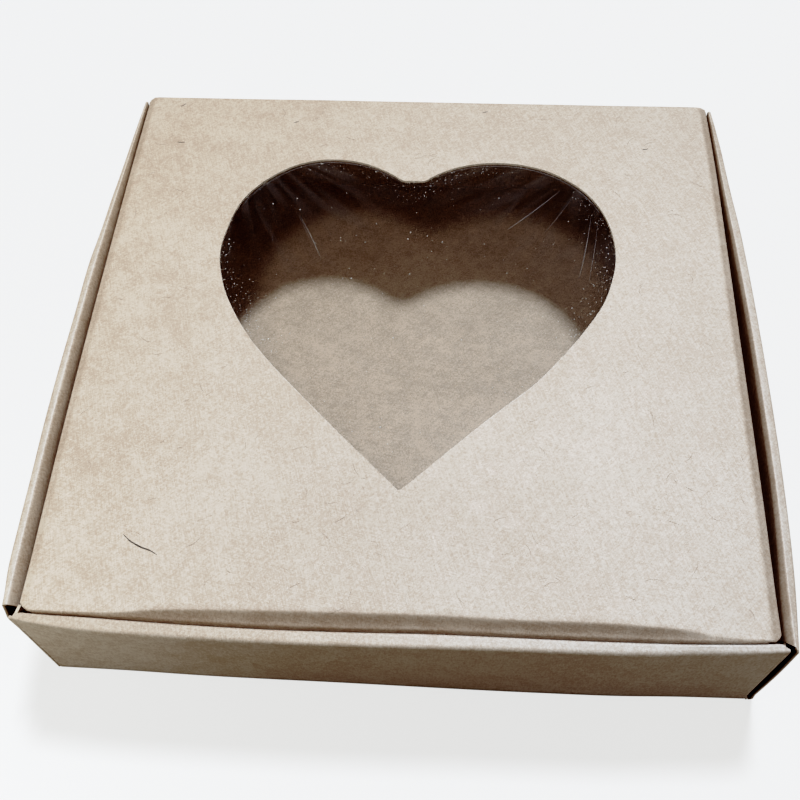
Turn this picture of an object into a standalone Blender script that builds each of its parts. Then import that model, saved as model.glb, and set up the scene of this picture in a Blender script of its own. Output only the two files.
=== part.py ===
"""Windowed gift box of folded kraft board, closed, with a heart window of clear film in its lid.

The box is one die-cut sheet. Each panel between two creases is an object of its own, and the
rounded fold at a crease belongs to one of the two panels that meet there. The front wall and both
side walls are rolled over: an outer panel, a flat ledge on top, and an inner panel whose tabs drop
into notches in the base. The ears of the front and back walls are folded back between the two
layers of the side walls, which holds the corners.

+X is right, +Y is back, +Z is up. The origin is the middle of the underside of the base.
"""

import math

import bmesh
import bpy
from mathutils import Matrix, Vector

MM = 0.001

# Driving sizes of the tray
CAVITY_WIDTH = 119.4 * MM  # between the inner side panels
CAVITY_DEPTH = 118.2 * MM  # between the inner front panel and the back wall
HEIGHT = 25.0 * MM  # table to the top of the lid and of the ledges
BOARD = 0.45 * MM  # thickness of the kraft board
CREASE = 0.70 * MM  # outside radius of every fold
FRONT_LEDGE = 1.50 * MM  # depth of the front wall's rolled top at its ends
EAR_LENGTH = 36.0 * MM
EAR_TAPER = 4.0  # degrees that an ear's top and bottom edges close in
TAB_WIDTH = 20.0 * MM
TAB_SPACING = 56.0 * MM  # between the middles of a panel's two tabs

# Clearances
LAYER_GAP = 0.20 * MM  # between faces of board that lie against each other
LID_GAP = 0.30 * MM  # round the lid and its flaps
NOTCH_PLAY = 0.50 * MM  # at each end of a tab in its notch
FLOOR_PLAY = 0.05 * MM  # from the foot of a tab to the table

# How far the springy walls stand out of true
FRONT_BOW = 2.0 * MM  # outer front panel, at the middle of its top edge
SIDE_BOW = 1.5 * MM  # outer side panels, at the middle of their top edges
SIDE_FLARE = 0.6 * MM  # outer side panels, along the whole top edge
INNER_SIDE_BOW = 0.8 * MM  # inner side panels
LID_BOW = 1.2 * MM  # front edge of the lid and the inner front panel behind it

# Driving sizes of the lid
TUCK_DEPTH = 20.0 * MM
TUCK_SETBACK = 2.0 * MM  # from the lid's side edge to the end of the tuck flap
TUCK_CORNER = 6.0 * MM  # radius of the tuck flap's free corners
FLAP_DEPTH = 20.0 * MM
FLAP_SETBACK = 2.1 * MM  # from the lid's front edge to the front of a side flap
FLAP_TAPER = 22.0  # degrees that a side flap's front edge slants back
FLAP_REAR_TAPER = 5.0
CORNER_OPENING = 1.7 * MM  # from the inner front panel to the front ends of the side ledges

# Heart window, from its tip round one side to its cleft
HEART_TIP = -35.0 * MM  # how far in front of the lid's middle the tip lies
HEART_SLOPE = 45.0  # degrees between the straight side and the lid's front edge
HEART_STRAIGHT = 29.6 * MM
HEART_FLANK_RADIUS = 69.5 * MM
HEART_FLANK_ANGLE = 25.8  # degrees that the flank turns through
HEART_LOBE_RADIUS = 22.3 * MM
HEART_CLEFT = 4.4 * MM  # width of the flat bottom of the cleft

# Window film
FILM = 0.15 * MM
FILM_MARGIN = 7.0 * MM  # glued border round the window

# Heights
BEND = CREASE - BOARD / 2  # radius of the middle of the board round a fold
FLOOR = BOARD + LAYER_GAP  # foot of what stands on the base
RIM = HEIGHT - CREASE  # where the folds of the rolled tops begin
PANEL_TOP = RIM - LAYER_GAP

# Places across, from the middle of the box outwards
INNER_X = CAVITY_WIDTH / 2
EAR_X = INNER_X + BOARD + LAYER_GAP
WALL_X = EAR_X + BOARD + LAYER_GAP
EAR_FOLD_X = EAR_X + BOARD - CREASE
END_PANEL_X = EAR_FOLD_X - LAYER_GAP
SIDE_FOLD_X = WALL_X + BOARD - CREASE
BASE_X = SIDE_FOLD_X - LAYER_GAP

# Places from front to back
BACK_Y = (CAVITY_DEPTH + BOARD + FRONT_LEDGE) / 2
FRONT_Y = -BACK_Y
INNER_FRONT_Y = FRONT_Y + FRONT_LEDGE
BASE_Y = BACK_Y - CREASE - LAYER_GAP
SIDE_FRONT_Y = INNER_FRONT_Y + CORNER_OPENING
SIDE_BACK_Y = BACK_Y - BOARD - LID_GAP

# The lid closes between the walls and turns about the back crease
LID_X = INNER_X - LID_GAP
LID_FRONT_Y = INNER_FRONT_Y + LID_GAP
LID_MIDDLE_Z = HEIGHT - BOARD / 2
HINGE_Y = BACK_Y - BOARD / 2
FLAP_FOLD_X = LID_X - CREASE
TUCK_FOLD_Y = LID_FRONT_Y + CREASE
TUCK_X = LID_X - TUCK_SETBACK
# The tuck flap leans in by as much as its free edge swings out when the lid starts to open.
TUCK_LEAN = math.degrees(math.atan(TUCK_DEPTH / (2 * (HINGE_Y - LID_FRONT_Y))))

FOLD_STEPS = 5
BOW_STEPS = 16
EAR_STEPS = 6
HEIGHT_STEPS = 5

BOARD_OUTSIDE = (0.60, 0.53, 0.44)
BOARD_INSIDE = (0.52, 0.43, 0.33)
FILM_COLOUR = (0.92, 0.93, 0.93)


def clear_scene():
    for old in list(bpy.data.objects):
        bpy.data.objects.remove(old)


def finish(name, mesh, colour, roughness=0.85, alpha=1.0):
    """The bmesh as a named object with its own material."""
    data = bpy.data.meshes.new(name)
    mesh.to_mesh(data)
    mesh.free()
    panel = bpy.data.objects.new(name, data)
    bpy.context.collection.objects.link(panel)
    finish_material = bpy.data.materials.new(name)
    finish_material.use_nodes = True
    shader = finish_material.node_tree.nodes["Principled BSDF"]
    shader.inputs["Base Color"].default_value = (*colour, 1)
    shader.inputs["Roughness"].default_value = roughness
    shader.inputs["Metallic"].default_value = 0
    shader.inputs["Alpha"].default_value = alpha
    data.materials.append(finish_material)
    return panel


def spread(low, high, steps):
    """Evenly spaced values from low to high, both included."""
    return [low + (high - low) * i / steps for i in range(steps + 1)]


def arc(centre, radius, start, end, steps=FOLD_STEPS):
    """Points round a centre, from one angle to the other in degrees."""
    return [
        (
            centre[0] + radius * math.cos(math.radians(angle)),
            centre[1] + radius * math.sin(math.radians(angle)),
        )
        for angle in spread(start, end, steps)
    ]


def bow(place, half_length):
    """How far a springy edge bulges: 1 at the middle, 0 at both ends."""
    return max(0.0, 1 - (place / half_length) ** 2)


def rise(z):
    """0 at the foot of a wall and 1 where its rolled top begins."""
    return max(0.0, (z - FLOOR) / (RIM - FLOOR))


def sheet(name, columns, rows, place, thickness=BOARD, keep=None, colour=BOARD_OUTSIDE, **finish_as):
    """A board panel. place(column, row) is a point on its middle surface, and keep leaves cells out."""
    mesh = bmesh.new()
    grid = [[mesh.verts.new(place(column, row)) for column in columns] for row in rows]
    for i in range(len(rows) - 1):
        for j in range(len(columns) - 1):
            if keep is None or keep((columns[j] + columns[j + 1]) / 2, (rows[i] + rows[i + 1]) / 2):
                mesh.faces.new((grid[i][j], grid[i][j + 1], grid[i + 1][j + 1], grid[i + 1][j]))
    loose = [vertex for vertex in mesh.verts if not vertex.link_faces]
    bmesh.ops.delete(mesh, geom=loose, context="VERTS")
    panel = finish(name, mesh, colour, **finish_as)
    board = panel.modifiers.new("Board thickness", "SOLIDIFY")
    board.thickness = thickness
    board.offset = 0
    board.use_even_offset = True
    board.use_quality_normals = True
    return panel


def tab_edges():
    """Where a panel's tabs begin and end, along its length."""
    return [side * TAB_SPACING / 2 + end * TAB_WIDTH / 2 for side in (-1, 1) for end in (-1, 1)]


def on_tab(place, play=0.0):
    return abs(abs(place) - TAB_SPACING / 2) < TAB_WIDTH / 2 + play


def lengthwise(start, end):
    """Stations along an inner panel: an even spread for its bow, with the edges of its tabs."""
    even = spread(start, end, BOW_STEPS)
    least = (end - start) / BOW_STEPS / 4
    apart = [place for place in even if min(abs(place - edge) for edge in tab_edges()) > least]
    return sorted(apart + tab_edges())


def base_panel():
    """The floor, notched at its front and side edges where the inner panels' tabs drop in."""
    notch = TAB_WIDTH / 2 + NOTCH_PLAY
    notch_edges = [side * TAB_SPACING / 2 + end * notch for side in (-1, 1) for end in (-1, 1)]
    notch_x = INNER_X - LAYER_GAP
    notch_y = INNER_FRONT_Y + LAYER_GAP

    def solid_there(x, y):
        in_side_notch = abs(x) > notch_x and on_tab(y, NOTCH_PLAY)
        in_front_notch = y < notch_y and on_tab(x, NOTCH_PLAY)
        return not in_side_notch and not in_front_notch

    return sheet(
        "base_panel",
        [-BASE_X, -notch_x, *notch_edges, notch_x, BASE_X],
        [-BASE_Y, notch_y, *notch_edges, BASE_Y],
        lambda x, y: Vector((x, y, BOARD / 2)),
        keep=solid_there,
        colour=BOARD_INSIDE,
    )


def outer_profile(top):
    """An outer wall from the base up: (distance in from the wall's face, height) along its middle."""
    fold = arc((CREASE, CREASE), BEND, 270, 180)
    return fold + [(BOARD / 2, z) for z in spread(CREASE, top, HEIGHT_STEPS)[1:]]


def outer_side_panel(name, side):
    """Side wall's outer panel, from the base crease up. It flares and bows outwards."""
    profile = outer_profile(PANEL_TOP)
    front = FRONT_Y + LAYER_GAP
    back = BACK_Y - LAYER_GAP
    corner = SIDE_FRONT_Y - front

    def place(along, row):
        inset, z = profile[round(row)]
        start = front + max(0.0, z - (PANEL_TOP - corner))
        y = start + (back - start) * along
        lean = (SIDE_FLARE + SIDE_BOW * bow(y, BACK_Y)) * rise(z)
        return Vector((side * (WALL_X + BOARD - inset + lean), y, z))

    return sheet(name, spread(0, 1, BOW_STEPS), range(len(profile)), place)


def ledge_profile(inner, outer):
    """A rolled top from its inner face to its outer face: (distance out, height) along its middle."""
    inside = arc((inner + CREASE, RIM), BEND, 180, 90)
    outside = arc((outer - CREASE, RIM), BEND, 90, 0)
    return inside + outside


def side_ledge(name, side):
    """Rolled top of a side wall, with the folds to its outer and inner panels."""
    rows = 2 * (FOLD_STEPS + 1)

    def place(y, row):
        bulge = bow(y, BACK_Y)
        inner = INNER_X + INNER_SIDE_BOW * bulge
        outer = WALL_X + BOARD + SIDE_FLARE + SIDE_BOW * bulge
        out, z = ledge_profile(inner, outer)[round(row)]
        return Vector((side * out, y, z))

    return sheet(name, spread(SIDE_FRONT_Y, SIDE_BACK_Y, BOW_STEPS), range(rows), place)


def inner_side_panel(name, side):
    """Side wall's inner panel, hanging from the ledge, with two tabs in the base's notches."""
    rows = [FLOOR_PLAY] + spread(FLOOR, PANEL_TOP, HEIGHT_STEPS)

    def place(y, z):
        lean = INNER_SIDE_BOW * bow(y, BACK_Y) * rise(z)
        return Vector((side * (INNER_X + BOARD / 2 + lean), y, z))

    return sheet(
        name,
        lengthwise(SIDE_FRONT_Y, SIDE_BACK_Y),
        rows,
        place,
        keep=lambda y, z: z > FLOOR or on_tab(y),
        colour=BOARD_INSIDE,
    )


def front_wall_outer():
    """The front wall's outer panel, bowed outwards along its top."""
    profile = outer_profile(PANEL_TOP)

    def place(x, row):
        inset, z = profile[round(row)]
        return Vector((x, FRONT_Y + inset - FRONT_BOW * bow(x, END_PANEL_X) * rise(z), z))

    columns = spread(-END_PANEL_X, END_PANEL_X, BOW_STEPS)
    return sheet("front_wall_outer", columns, range(len(profile)), place)


def front_wall_ledge():
    """Rolled top of the front wall. Its ends slant in towards the cavity."""
    rows = 2 * (FOLD_STEPS + 1)
    inner_end = LID_X - LID_GAP
    outer_end = END_PANEL_X

    def place(share, row):
        x = share * END_PANEL_X
        inner = -INNER_FRONT_Y + LID_BOW * bow(x, LID_X)
        outer = -FRONT_Y + FRONT_BOW * bow(x, END_PANEL_X)
        out, z = ledge_profile(inner, outer)[round(row)]
        end = inner_end + (outer_end - inner_end) * (out - inner) / (outer - inner)
        return Vector((share * end, -out, z))

    return sheet("front_wall_ledge", spread(-1, 1, BOW_STEPS), range(rows), place)


def front_wall_inner():
    """The front wall's inner panel, with two tabs in the base's notches."""
    half = INNER_X - LID_GAP

    def place(x, z):
        lean = LID_BOW * bow(x, LID_X) * rise(z)
        return Vector((x, INNER_FRONT_Y - BOARD / 2 - lean, z))

    return sheet(
        "front_wall_inner",
        lengthwise(-half, half),
        [FLOOR_PLAY] + spread(FLOOR, PANEL_TOP, HEIGHT_STEPS),
        place,
        keep=lambda x, z: z > FLOOR or on_tab(x),
        colour=BOARD_INSIDE,
    )


def back_wall():
    """The single back wall, which ends just under the lid's hinge."""
    profile = outer_profile(HEIGHT - BOARD - LAYER_GAP)

    def place(x, row):
        inset, z = profile[round(row)]
        return Vector((x, BACK_Y - inset, z))

    return sheet("back_wall", [-END_PANEL_X, END_PANEL_X], range(len(profile)), place)


def ear(name, side, end):
    """A tapered ear: round the end of the front or back wall, then back against the inner panel."""
    fold_y = BACK_Y - CREASE
    plate = spread(fold_y, fold_y - EAR_LENGTH, EAR_STEPS)[1:]
    path = arc((EAR_FOLD_X, fold_y), BEND, 90, 0) + [(EAR_X + BOARD / 2, y) for y in plate]
    low = CREASE + LAYER_GAP
    slope = math.tan(math.radians(EAR_TAPER))

    def place(column, height):
        x, y = path[round(column)]
        taper = slope * max(0.0, fold_y - y)
        z = low + taper + (PANEL_TOP - low - 2 * taper) * height
        lean = INNER_SIDE_BOW * bow(y, BACK_Y) * rise(z)
        return Vector((side * (x + lean), end * y, z))

    return sheet(name, range(len(path)), [0, 1], place, colour=BOARD_INSIDE)


def heart_outline():
    """The window's outline on the lid, once round from its tip."""
    slope = math.radians(HEART_SLOPE)
    corner = Vector((0, HEART_TIP)) + HEART_STRAIGHT * Vector((math.cos(slope), math.sin(slope)))
    flank_centre = corner + HEART_FLANK_RADIUS * Vector((-math.sin(slope), math.cos(slope)))
    turn = HEART_SLOPE - 90 + HEART_FLANK_ANGLE
    direction = Vector((math.cos(math.radians(turn)), math.sin(math.radians(turn))))
    lobe_centre = flank_centre + (HEART_FLANK_RADIUS - HEART_LOBE_RADIUS) * direction
    cleft = 180 - math.degrees(math.acos((lobe_centre.x - HEART_CLEFT / 2) / HEART_LOBE_RADIUS))
    right = [(0, HEART_TIP)]
    right += arc(flank_centre, HEART_FLANK_RADIUS, HEART_SLOPE - 90, turn, 5)
    right += arc(lobe_centre, HEART_LOBE_RADIUS, turn, cleft, 20)[1:]
    left = [(-x, y) for x, y in reversed(right[1:])]
    return right + left


def prism(name, outline, low, high):
    """An upright cutter, hidden from renders."""
    mesh = bmesh.new()
    face = mesh.faces.new([mesh.verts.new((x, y, low)) for x, y in outline])
    raised = bmesh.ops.extrude_face_region(mesh, geom=[face])["geom"]
    moved = [item for item in raised if isinstance(item, bmesh.types.BMVert)]
    bmesh.ops.translate(mesh, verts=moved, vec=(0, 0, high - low))
    bmesh.ops.recalc_face_normals(mesh, faces=mesh.faces)
    cutter = finish(name, mesh, BOARD_INSIDE)
    cutter.hide_render = True
    cutter.display_type = "WIRE"
    return cutter


def lid_panel():
    """The lid's flat top, rounded along the hinge, bowed along the front, with the window cut out."""
    half = FLAP_FOLD_X - LAYER_GAP
    rear = arc((HINGE_Y, LID_MIDDLE_Z), BOARD / 2, 90, -90)
    mesh = bmesh.new()
    rings = []
    for x in spread(-half, half, BOW_STEPS):
        front = TUCK_FOLD_Y + LAYER_GAP - LID_BOW * bow(x, LID_X)
        section = [(front, HEIGHT - BOARD), (front, HEIGHT)] + rear
        rings.append([mesh.verts.new((x, y, z)) for y, z in section])
    for here, there in zip(rings, rings[1:]):
        for i in range(len(here)):
            mesh.faces.new((here[i - 1], here[i], there[i], there[i - 1]))
    mesh.faces.new(rings[0])
    mesh.faces.new(rings[-1])
    bmesh.ops.recalc_face_normals(mesh, faces=mesh.faces)
    panel = finish("lid_panel", mesh, BOARD_OUTSIDE)
    window = panel.modifiers.new("Heart window", "BOOLEAN")
    window.operation = "DIFFERENCE"
    window.solver = "EXACT"
    window.object = prism("heart_cutter", heart_outline(), HEIGHT - 3 * BOARD, HEIGHT + 2 * BOARD)
    return panel, window.object


def window_film():
    """Clear film, glued by its border to the underside of the lid."""
    outline = heart_outline()
    z = HEIGHT - BOARD - LAYER_GAP - FILM / 2
    half = max(x for x, _ in outline) + FILM_MARGIN
    front = min(y for _, y in outline) - FILM_MARGIN
    back = max(y for _, y in outline) + FILM_MARGIN
    return sheet(
        "window_film",
        [-half, half],
        [front, back],
        lambda x, y: Vector((x, y, z)),
        thickness=FILM,
        colour=FILM_COLOUR,
        roughness=0.08,
        alpha=0.25,
    )


def side_flap(name, side):
    """A dust flap on the lid's side crease. Its front edge slants back, clear of the tuck flap."""
    plate = spread(0, FLAP_DEPTH - CREASE, 3)
    profile = arc((FLAP_FOLD_X, RIM), BEND, 90, 0) + [(LID_X - BOARD / 2, RIM - drop) for drop in plate[1:]]
    front_slope = math.tan(math.radians(FLAP_TAPER))
    rear_slope = math.tan(math.radians(FLAP_REAR_TAPER))

    def place(along, row):
        x, z = profile[round(row)]
        depth = HEIGHT - z
        front = LID_FRONT_Y + FLAP_SETBACK + front_slope * depth
        rear = SIDE_BACK_Y - LID_GAP - rear_slope * depth
        return Vector((side * x, front + (rear - front) * along, z))

    return sheet(name, [0, 1], range(len(profile)), place)


def tuck_flap():
    """The front flap, which slides in behind the front wall and leans a little inwards."""
    fold_end = 180 + TUCK_LEAN
    fold = arc((0, 0), BEND, 90, fold_end)
    lean = math.radians(TUCK_LEAN)
    length = TUCK_DEPTH - CREASE
    straight = TUCK_X - TUCK_CORNER

    def reach(x):
        """Length of the flap below its fold, less near its rounded corners."""
        beyond = min(max(0.0, abs(x) - straight), TUCK_CORNER)
        return length - TUCK_CORNER + math.sqrt(TUCK_CORNER**2 - beyond**2)

    def place(x, row):
        step = round(row)
        if step < len(fold):
            out, up = fold[step]
        else:
            drop = reach(x) * (step - len(fold) + 1) / HEIGHT_STEPS
            out = fold[-1][0] + drop * math.sin(lean)
            up = fold[-1][1] - drop * math.cos(lean)
        return Vector((x, TUCK_FOLD_Y + out - LID_BOW * bow(x, LID_X), RIM + up))

    corner = [straight + TUCK_CORNER * math.sin(math.radians(angle)) for angle in spread(0, 90, 6)]
    columns = [-x for x in reversed(corner)] + spread(-straight, straight, BOW_STEPS)[1:-1] + corner
    return sheet("lid_tuck_flap", columns, range(len(fold) + HEIGHT_STEPS), place)


def pivot(name, location, parent=None):
    """An empty on a crease that bends in use. location is in the box's frame."""
    empty = bpy.data.objects.new(name, None)
    bpy.context.collection.objects.link(empty)
    if parent:
        empty.parent = parent
        location = Vector(location) - parent.location
    empty.location = location
    return empty


def carry(empty, at, *pieces):
    """Puts each piece's origin on the crease and hangs the piece from it."""
    for piece in pieces:
        piece.data.transform(Matrix.Translation(-Vector(at)))
        piece.parent = empty


def build_tray():
    base_panel()
    front_wall_outer()
    front_wall_ledge()
    front_wall_inner()
    back_wall()
    for side_name, side in (("left", -1), ("right", 1)):
        outer_side_panel(f"{side_name}_wall_outer", side)
        side_ledge(f"{side_name}_wall_ledge", side)
        inner_side_panel(f"{side_name}_wall_inner", side)
        ear(f"front_ear_{side_name}", side, -1)
        ear(f"back_ear_{side_name}", side, 1)


def build_lid():
    hinge = (0, HINGE_Y, LID_MIDDLE_Z)
    lid = pivot("lid_hinge", hinge)
    panel, cutter = lid_panel()
    carry(lid, hinge, panel, cutter, window_film())
    tuck_crease = (0, TUCK_FOLD_Y, RIM)
    carry(pivot("tuck_crease", tuck_crease, lid), tuck_crease, tuck_flap())
    for side_name, side in (("left", -1), ("right", 1)):
        crease = (side * FLAP_FOLD_X, 0, RIM)
        flap = side_flap(f"lid_flap_{side_name}", side)
        carry(pivot(f"flap_crease_{side_name}", crease, lid), crease, flap)


clear_scene()
build_tray()
build_lid()
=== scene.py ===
"""Looks of the windowed gift box: folded kraft board, a heart window of clear film, and the studio.

Sizes are in millimetres until a mesh is made. +X is right, +Y is back, +Z is up.
"""

import math

import bpy
import numpy as np
from mathutils import Matrix, Vector


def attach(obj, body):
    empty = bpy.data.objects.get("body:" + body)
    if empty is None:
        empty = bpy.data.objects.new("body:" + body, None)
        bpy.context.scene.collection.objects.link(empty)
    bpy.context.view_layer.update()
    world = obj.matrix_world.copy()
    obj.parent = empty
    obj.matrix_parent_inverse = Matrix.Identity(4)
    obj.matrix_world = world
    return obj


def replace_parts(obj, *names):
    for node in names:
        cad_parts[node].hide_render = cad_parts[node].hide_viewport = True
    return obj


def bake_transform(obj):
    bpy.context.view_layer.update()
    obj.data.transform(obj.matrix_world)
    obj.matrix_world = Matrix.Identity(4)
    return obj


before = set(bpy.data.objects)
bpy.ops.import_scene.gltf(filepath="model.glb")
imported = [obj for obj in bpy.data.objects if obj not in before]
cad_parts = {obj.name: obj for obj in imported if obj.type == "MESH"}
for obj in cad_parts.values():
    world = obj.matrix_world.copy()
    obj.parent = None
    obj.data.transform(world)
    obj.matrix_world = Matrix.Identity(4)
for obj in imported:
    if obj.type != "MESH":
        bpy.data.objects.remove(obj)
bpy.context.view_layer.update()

MM = 0.001
BOARD = 0.45  # thickness
RADIUS = 0.70  # of the creases at the base and at the lid's back
TOP = 25.0
RIM = 24.3  # where the outer panels turn over
FLOOR = 0.65
TAB_FOOT = 0.05
BASE_X = 60.75
BASE_Y = 59.375
SIDE_FOOT = 61.45  # outer face of a side wall at its foot
FRONT_FOOT = 60.075
INNER_FOOT = 59.7  # face of its inner panel that looks into the box
INNER_FRONT_FOOT = 58.575
WIDEST = 63.52  # the bowed walls reach no further out than this
DEEPEST = 62.05
LEDGE_DIP = 0.08  # of the front ledge's outer edge
INNER_FOLD = 0.45  # how far in the front wall's inner fold turns
INNER_FOLD_DROP = 0.5
FOOT_STEPS = 6
SIDE_NAMES = {-1: "left", 1: "right"}
TAB_SPACING = 56.0
TAB_WIDTH = 20.0
NOTCH_PLAY = 0.5
FLAP_DEPTH = 20.0
TUCK_DEPTH = 20.0
FLAP_FRONT_TAPER = 22.0
FLAP_REAR_TAPER = 5.0
TUCK_HALF = 57.4
TUCK_CORNER = 6.0
TUCK_LEAN = 4.84
EAR_LENGTH = 36.0
EAR_TAPER = 4.0
EAR_RADIUS = 0.35
HEART_TIP = -35.0
HEART_SLOPE = 45.0
HEART_STRAIGHT = 29.6
HEART_FLANK_RADIUS = 69.5
HEART_FLANK_ANGLE = 25.8
HEART_LOBE_RADIUS = 22.3
HEART_CLEFT = 4.4
HEART_MIDDLE = 10.0


# Curves and small helpers


def curve(*knots):
    """A smooth function through a few (place, value) knots."""
    places, values = np.array(knots, float).T
    slopes = np.gradient(values, places)

    def at(place):
        place = np.clip(np.asarray(place, float), places[0], places[-1])
        i = np.clip(np.searchsorted(places, place, side="right") - 1, 0, len(places) - 2)
        span = places[i + 1] - places[i]
        t = (place - places[i]) / span
        return (
            (2 * t**3 - 3 * t**2 + 1) * values[i]
            + (t**3 - 2 * t**2 + t) * span * slopes[i]
            + (-2 * t**3 + 3 * t**2) * values[i + 1]
            + (t**3 - t**2) * span * slopes[i + 1]
        )

    return at


def smooth(low, high, value):
    t = np.clip((np.asarray(value, float) - low) / (high - low), 0, 1)
    return t * t * (3 - 2 * t)


def waves(seed, lengths, height):
    """A wavy field: plane waves of the given lengths, with fixed directions and phases."""
    rng = np.random.RandomState(seed)
    parts = []
    for length in np.repeat(lengths, 3):
        parts.append((rng.uniform(0, 2 * math.pi), rng.uniform(0, 2 * math.pi), length))

    def at(x, y):
        total = 0
        for direction, phase, length in parts:
            along = np.cos(direction) * x + np.sin(direction) * y
            total = total + np.sin(2 * math.pi * along / length + phase)
        return height * total / math.sqrt(len(parts))

    return at


def arc(start, end, steps):
    """Cosines and sines of angles from start to end, in degrees."""
    angles = np.radians(np.linspace(start, end, steps + 1))
    return np.cos(angles), np.sin(angles)


def shares(count):
    """Even shares of a whole, from the first one past 0 up to 1."""
    return np.linspace(0, 1, count + 1)[1:]


# Meshes


def link(name, data):
    piece = bpy.data.objects.new(name, data)
    bpy.context.scene.collection.objects.link(piece)
    return piece


def points_row(x, y, z):
    """A row of a sheet's points, none of which lies above the top of the box."""
    return np.stack(np.broadcast_arrays(x, y, np.minimum(z, TOP)), axis=-1)


def grid_quads(rows, columns, wrap=False, keep=None):
    quads = []
    for i in range(rows - 1):
        for j in range(columns if wrap else columns - 1):
            k = (j + 1) % columns
            near, far = i * columns, (i + 1) * columns
            if keep is None or keep(i, j):
                quads.append((near + j, near + k, far + k, far + j))
    return np.array(quads)


def new_object(name, points, faces, materials, kinds=None, sharp=None, wear_and_painted_light=None):
    """A mesh object from points in millimetres. Its last argument is above 0 where the board is rubbed
    pale, with a painted highlight on some folds, and below 0 where shade is painted on.
    """
    data = bpy.data.meshes.new(name)
    places = (np.asarray(points, float) * MM).tolist()
    data.from_pydata(places, [], [tuple(int(i) for i in face) for face in faces])
    for material in materials:
        data.materials.append(material)
    data.polygons.foreach_set("use_smooth", np.ones(len(faces), bool))
    if kinds is not None:
        data.polygons.foreach_set("material_index", np.array(kinds, np.int32))
    if sharp:
        flags = np.array([tuple(sorted(edge.vertices)) in sharp for edge in data.edges])
        data.edges.foreach_set("use_edge_sharp", flags)
    if wear_and_painted_light is not None:
        data.attributes.new("wear_and_painted_light", "FLOAT", "POINT").data.foreach_set("value", np.array(wear_and_painted_light, np.float32))
    data.update()
    return link(name, data)


def board(
    name, face, materials=None, thickness=BOARD, flip=False, wrap=False, keep=None, fold=None,
    wear_and_painted_light=0, back_wear_and_painted_light=0,
):
    """A closed sheet over a grid of points, its outer side. The other side lies a thickness behind.

    wrap joins the grid's last column to its first, and keep(i, j) tells which of its quads are there.
    fold is the row where the sheet runs on into another piece, so that no cut edge shows there.
    The last two arguments mark the outer side and the other side: 1 where it is rubbed pale, with a
    painted highlight on some folds, -1 where shade is painted on and -2 where the painted shade is deeper
    still.
    """
    face = np.asarray(face, float)
    shape = face.shape[:2]
    folds = np.zeros(shape, bool)
    if fold is not None:
        folds[fold] = True
    quads = grid_quads(*shape, wrap, keep)
    used, quads = np.unique(quads[:, ::-1] if flip else quads, return_inverse=True)
    quads = quads.reshape(-1, 4)
    face, folds = face.reshape(-1, 3)[used], folds.reshape(-1)[used]
    wear_and_painted_light = np.concatenate([(np.zeros(shape) + mark).reshape(-1)[used] for mark in (wear_and_painted_light, back_wear_and_painted_light)])
    across = np.cross(face[quads[:, 2]] - face[quads[:, 0]], face[quads[:, 3]] - face[quads[:, 1]])
    normal = np.zeros_like(face)
    for k in range(4):
        np.add.at(normal, quads[:, k], across)
    normal /= np.linalg.norm(normal, axis=1)[:, None]
    n = len(face)
    directed = {(int(q[k]), int(q[(k + 1) % 4])) for q in quads for k in range(4)}
    rim = sorted(edge for edge in directed if edge[::-1] not in directed)
    sides = [(q, p, p + n, q + n) for p, q in rim]
    points = np.vstack([face, face - thickness * normal])
    faces = list(map(tuple, quads)) + list(map(tuple, quads[:, ::-1] + n)) + sides
    kinds = [0] * len(quads) + [1] * len(quads) + [0 if folds[p] and folds[q] else 2 for p, q in rim]
    sharp = {tuple(sorted(e)) for e in rim} | {tuple(sorted((p + n, q + n))) for p, q in rim}
    return new_object(name, points, faces, materials or BOARD_FACES, kinds, sharp, wear_and_painted_light)


# Materials


def add(tree, kind, values=None, **settings):
    """A node. values fills its inputs, with a number or with another node's output."""
    made = tree.nodes.new(kind)
    for key, value in settings.items():
        setattr(made, key, value)
    for key, value in (values or {}).items():
        if isinstance(value, bpy.types.NodeSocket):
            tree.links.new(value, made.inputs[key])
        else:
            made.inputs[key].default_value = value
    return made


def maths(tree, operation, *values):
    """One operation on a single value, or in turn over two or more."""
    result = values[0]
    for others in [{1: value} for value in values[1:]] or [{}]:
        result = add(tree, "ShaderNodeMath", {0: result} | others, operation=operation).outputs[0]
    return result


def weighted(tree, *parts):
    """The sum of some (value, weight) pairs."""
    return maths(tree, "ADD", *[maths(tree, "MULTIPLY", value, weight) for value, weight in parts])


def remap(tree, value, low, high, to_low=0.0, to_high=1.0):
    return add(tree, "ShaderNodeMapRange", {0: value, 1: low, 2: high, 3: to_low, 4: to_high}).outputs[0]


def mix(tree, factor, first, second, blend="MIX"):
    made = add(tree, "ShaderNodeMix", {0: factor, 6: first, 7: second}, data_type="RGBA", blend_type=blend)
    return made.outputs[2]


def noise(tree, place, scale, detail=2.0, roughness=0.5, distortion=0.0, offset=(0, 0, 0)):
    """Noise with features about 1/scale millimetres wide."""
    shifted = add(tree, "ShaderNodeVectorMath", {0: place, 1: offset}, operation="ADD").outputs[0]
    values = {"Vector": shifted, "Scale": scale, "Detail": detail}
    values |= {"Roughness": roughness, "Distortion": distortion}
    return add(tree, "ShaderNodeTexNoise", values).outputs[0]


def millimetres(tree):
    """Places on the piece, in millimetres."""
    coordinates = add(tree, "ShaderNodeTexCoord").outputs["Object"]
    scaled = add(tree, "ShaderNodeVectorMath", {0: coordinates, "Scale": 1 / MM}, operation="SCALE")
    return scaled.outputs[0]


def blank_material(name):
    material = bpy.data.materials.new(name)
    material.use_nodes = True
    return material, material.node_tree, material.node_tree.nodes["Principled BSDF"]


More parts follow.
